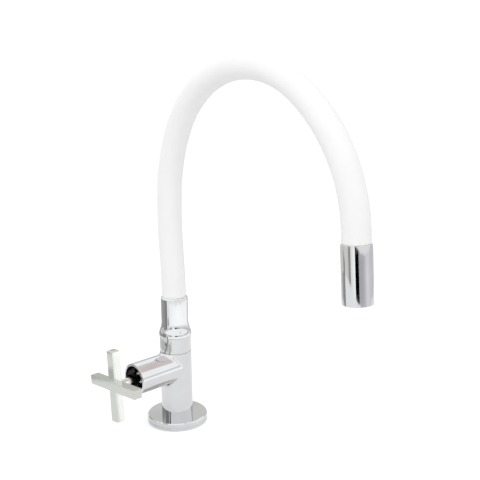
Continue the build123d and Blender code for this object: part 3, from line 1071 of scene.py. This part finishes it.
@dataclass
class Studio:
    """White floor and surroundings, soft lamps, and white, grey and black cards that only mirrors show."""

    white: float = 1.25
    surround: float = 0.85
    floor_half: float = 6.0
    floor_colour: Colour = (0.80, 0.80, 0.80)
    floor_lift: float = 0.4
    floor_mirrored: float = 0.26
    floor_roughness: float = 0.9
    lamps: tuple[Panel, ...] = (
        Panel("key_light", (-0.9, -0.4, 1.5), width=1.1, height=1.1, strength=6.0),
        Panel("fill_light", (-0.2, -1.7, 0.7), width=1.2, height=1.0, strength=1.6),
    )
    glints: tuple[Panel, ...] = (
        Panel(
            "handle_glint", (-0.046, -0.039, 0.045), width=0.013, height=0.09, strength=0.002,
            aim=(-0.074, -0.004, 0.045), tint=VIOLET,
        ),
    )
    cards: tuple[Panel, ...] = (
        Panel(
            "barrel_card", (0.20, -0.05, 0.355), width=0.34, height=0.14, strength=0.88, right_strength=0.88,
            aim=(-0.035, -0.005, 0.07), tint=ROSE,
        ),
    )
    screens: tuple[Screen, ...] = (
        Screen("back", COLUMN, 0.30, (0.0, 0.2), ((0.0, 0.70), (30.0, 0.72), (54.0, 0.70)), VIOLET),
        Screen(
            "bell_side", COLUMN, 0.20, (0.042, 0.12),
            ((54.0, 0.78), (77.0, 0.72), (92.0, 0.50), (133.0, 0.40), (166.0, 0.28)),
        ),
        Screen(
            "bell_front", COLUMN, 0.32, (0.0, 0.05),
            (
                (186.0, 1.25), (220.0, 1.35), (260.0, 1.4), (300.0, 1.35),
                (340.0, 1.3), (372.0, 1.2), (392.0, 0.9),
            ),
        ),
        Screen(
            "nut_side", COLUMN, 0.20, (0.008, 0.0235),
            ((54.0, 0.90), (77.0, 0.80), (100.0, 0.72), (133.0, 0.62), (166.0, 0.72)),
        ),
        Screen(
            "outlet_back", OUTLET, OUTLET_AWAY, OUTLET_HEIGHTS,
            ((48.0, 0.80), (82.0, 0.72), (116.0, 0.78), (143.0, 0.88), (157.0, 0.75)), WARM,
        ),
        Screen("outlet_grey", OUTLET, OUTLET_AWAY, OUTLET_HEIGHTS, ((157.5, 0.42), (174.0, 0.38))),
        Screen("outlet_bright", OUTLET, OUTLET_AWAY, OUTLET_HEIGHTS, ((174.5, 1.0), (205.0, 1.35))),
        Screen("outlet_black", OUTLET, OUTLET_AWAY, OUTLET_HEIGHTS, ((205.5, 0.0), (230.5, 0.0))),
        Screen(
            "outlet_side", OUTLET, OUTLET_AWAY, OUTLET_HEIGHTS,
            ((231.0, 0.55), (259.0, 0.60), (289.0, 0.98), (325.0, 0.80), (366.0, 0.76), (407.0, 0.78)),
            VIOLET,
        ),
    )

    def surroundings(self) -> None:
        """Light the scene from all sides; the camera and mirrors see plain white."""
        world = bpy.data.worlds.new("white_surroundings")
        bpy.context.scene.world = world
        world.use_nodes = True
        tree = world.node_tree
        tree.nodes.clear()
        rays = tree.nodes.new("ShaderNodeLightPath")
        kinds = ("Is Camera Ray", "Is Glossy Ray", "Is Transmission Ray")
        shows = self.any_of(tree, *(rays.outputs[kind] for kind in kinds))
        plain = tree.nodes.new("ShaderNodeBackground")
        plain.inputs["Strength"].default_value = self.surround
        bright = tree.nodes.new("ShaderNodeBackground")
        bright.inputs["Strength"].default_value = self.white
        for lit in (plain, bright):
            lit.inputs["Color"].default_value = (1.0, 1.0, 1.0, 1.0)
        mix = tree.nodes.new("ShaderNodeMixShader")
        out = tree.nodes.new("ShaderNodeOutputWorld")
        tree.links.new(shows, mix.inputs["Fac"])
        tree.links.new(plain.outputs["Background"], mix.inputs[1])
        tree.links.new(bright.outputs["Background"], mix.inputs[2])
        tree.links.new(mix.outputs["Shader"], out.inputs["Surface"])

    def any_of(self, tree: bpy.types.NodeTree, *tests: bpy.types.NodeSocket) -> bpy.types.NodeSocket:
        """Join ray tests so that any of them counts.

        Args:
            tree: The node tree.
            *tests: Sockets that are 0 or 1.

        Returns:
            A socket that is 1 where one of them is.
        """
        joined = tests[0]
        for test in tests[1:]:
            largest = tree.nodes.new("ShaderNodeMath")
            largest.operation = "MAXIMUM"
            tree.links.new(joined, largest.inputs[0])
            tree.links.new(test, largest.inputs[1])
            joined = largest.outputs["Value"]
        return joined

    def floor(self) -> None:
        """Lay the pale floor, which shows as white and keeps a soft shadow."""
        start_clean()
        bpy.ops.mesh.primitive_plane_add(size=2 * self.floor_half, location=(0.0, 0.0, 0.0))
        plane = bpy.context.object
        plane.name = "floor"
        sheet = NodeSheet("floor_paper")
        sheet.shader.inputs["Base Color"].default_value = (*self.floor_colour, 1.0)
        sheet.shader.inputs["Roughness"].default_value = self.floor_roughness
        sheet.shader.inputs["Specular IOR Level"].default_value = 0.0
        rays = sheet.node("ShaderNodeLightPath")
        shows = self.any_of(sheet.tree, rays.outputs["Is Camera Ray"], rays.outputs["Is Transmission Ray"])
        seen = sheet.node("ShaderNodeMath", operation="MULTIPLY")
        seen.inputs[1].default_value = self.floor_lift
        sheet.link(shows, seen.inputs[0])
        lift = sheet.node("ShaderNodeMath", operation="MULTIPLY_ADD")
        lift.inputs[1].default_value = self.floor_mirrored
        sheet.link(rays.outputs["Is Glossy Ray"], lift.inputs[0])
        sheet.link(seen.outputs["Value"], lift.inputs[2])
        sheet.shader.inputs["Emission Color"].default_value = (1.0, 1.0, 1.0, 1.0)
        sheet.link(lift.outputs["Value"], sheet.shader.inputs["Emission Strength"])
        plane.data.materials.append(sheet.material)

    def lamp(self, panel: Panel, mirrored: bool = False) -> None:
        """Hang a soft lamp.

        Args:
            panel: Its place, size and power in watts.
            mirrored: True where it shows in polished metal and nowhere else.
        """
        data = bpy.data.lights.new(panel.name, "AREA")
        data.shape = "RECTANGLE"
        data.size = panel.width
        data.size_y = panel.height
        data.energy = panel.strength
        lamp = bpy.data.objects.new(panel.name, data)
        bpy.context.scene.collection.objects.link(lamp)
        lamp.matrix_world = panel.frame()
        data.color = panel.tint
        lamp.visible_camera = False
        lamp.visible_glossy = mirrored
        lamp.visible_diffuse = not mirrored

    def card(self, panel: Panel) -> None:
        """Stand a card that only shows in polished metal.

        Args:
            panel: Its place, size and brightness.
        """
        start_clean()
        bpy.ops.mesh.primitive_plane_add(size=1.0)
        card = bpy.context.object
        card.name = panel.name
        card.matrix_world = panel.frame() @ Matrix.Diagonal((panel.width, panel.height, 1.0, 1.0))
        material = bpy.data.materials.new(panel.name)
        material.use_nodes = True
        tree = material.node_tree
        tree.nodes.clear()
        glow = tree.nodes.new("ShaderNodeEmission")
        glow.inputs["Color"].default_value = (*panel.tint, 1.0)
        across = tree.nodes.new("ShaderNodeSeparateXYZ")
        fade = tree.nodes.new("ShaderNodeMapRange")
        fade.inputs["To Min"].default_value = panel.right_strength
        fade.inputs["To Max"].default_value = panel.strength
        tree.links.new(tree.nodes.new("ShaderNodeTexCoord").outputs["UV"], across.inputs["Vector"])
        tree.links.new(across.outputs["X"], fade.inputs["Value"])
        tree.links.new(fade.outputs["Result"], glow.inputs["Strength"])
        out = tree.nodes.new("ShaderNodeOutputMaterial")
        tree.links.new(glow.outputs["Emission"], out.inputs["Surface"])
        card.data.materials.append(material)
        card.visible_camera = False
        card.visible_diffuse = False
        card.visible_shadow = False
        card.visible_transmission = False

    def build(self) -> None:
        """Set the studio up."""
        self.surroundings()
        self.floor()
        for panel in self.lamps:
            self.lamp(panel)
        for panel in self.glints:
            self.lamp(panel, mirrored=True)
        for screen in self.screens:
            for panel in screen.panels():
                self.card(panel)
        for panel in self.cards:
            self.card(panel)
        bpy.context.scene.view_settings.view_transform = "Standard"
        lamps = len(self.lamps) + len(self.glints)
        log.info("studio set with %d lamps and %d screens", lamps, len(self.screens))


@dataclass(frozen=True)
class PhotoCamera:
    """The camera that fits the outlines in the photograph."""

    place: Triple = (-0.4821, -0.5860, 0.3544)
    forward: Triple = (0.68266, 0.69753, -0.21778)
    right: Triple = (0.7127, -0.7014, -0.0097)
    image_pixels: float = 480.0
    focal_pixels: float = 800.0
    sensor_mm: float = 36.0
    clip_start: float = 0.01
    clip_end: float = 50.0

    def build(self) -> None:
        """Make the camera and look through it."""
        data = bpy.data.cameras.new("photo_camera")
        data.sensor_width = self.sensor_mm
        data.lens = self.focal_pixels / self.image_pixels * self.sensor_mm
        data.clip_start = self.clip_start
        data.clip_end = self.clip_end
        camera = bpy.data.objects.new("photo_camera", data)
        bpy.context.scene.collection.objects.link(camera)
        forward = Vector(self.forward).normalized()
        right = Vector(self.right)
        right = (right - forward * right.dot(forward)).normalized()
        up = right.cross(forward)
        turn = Matrix((right, up, -forward)).transposed().to_4x4()
        camera.matrix_world = Matrix.Translation(self.place) @ turn
        bpy.context.scene.camera = camera


def main() -> None:
    """Build the tap and its studio."""
    logging.basicConfig(level=logging.INFO, format="%(name)s: %(message)s")
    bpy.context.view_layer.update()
    finishes = Finishes()
    PhotoCamera().build()
    Studio().build()
    DeckFixing(finishes).build()
    ValveColumn(finishes).build()
    CrossHandle(finishes).build()
    BellFitting(finishes).build()
    hose = FlexibleHose(finishes)
    hose.build()
    AeratorOutlet(finishes, outlet=hose.outlet()).build()


if __name__ == "__main__":
    main()
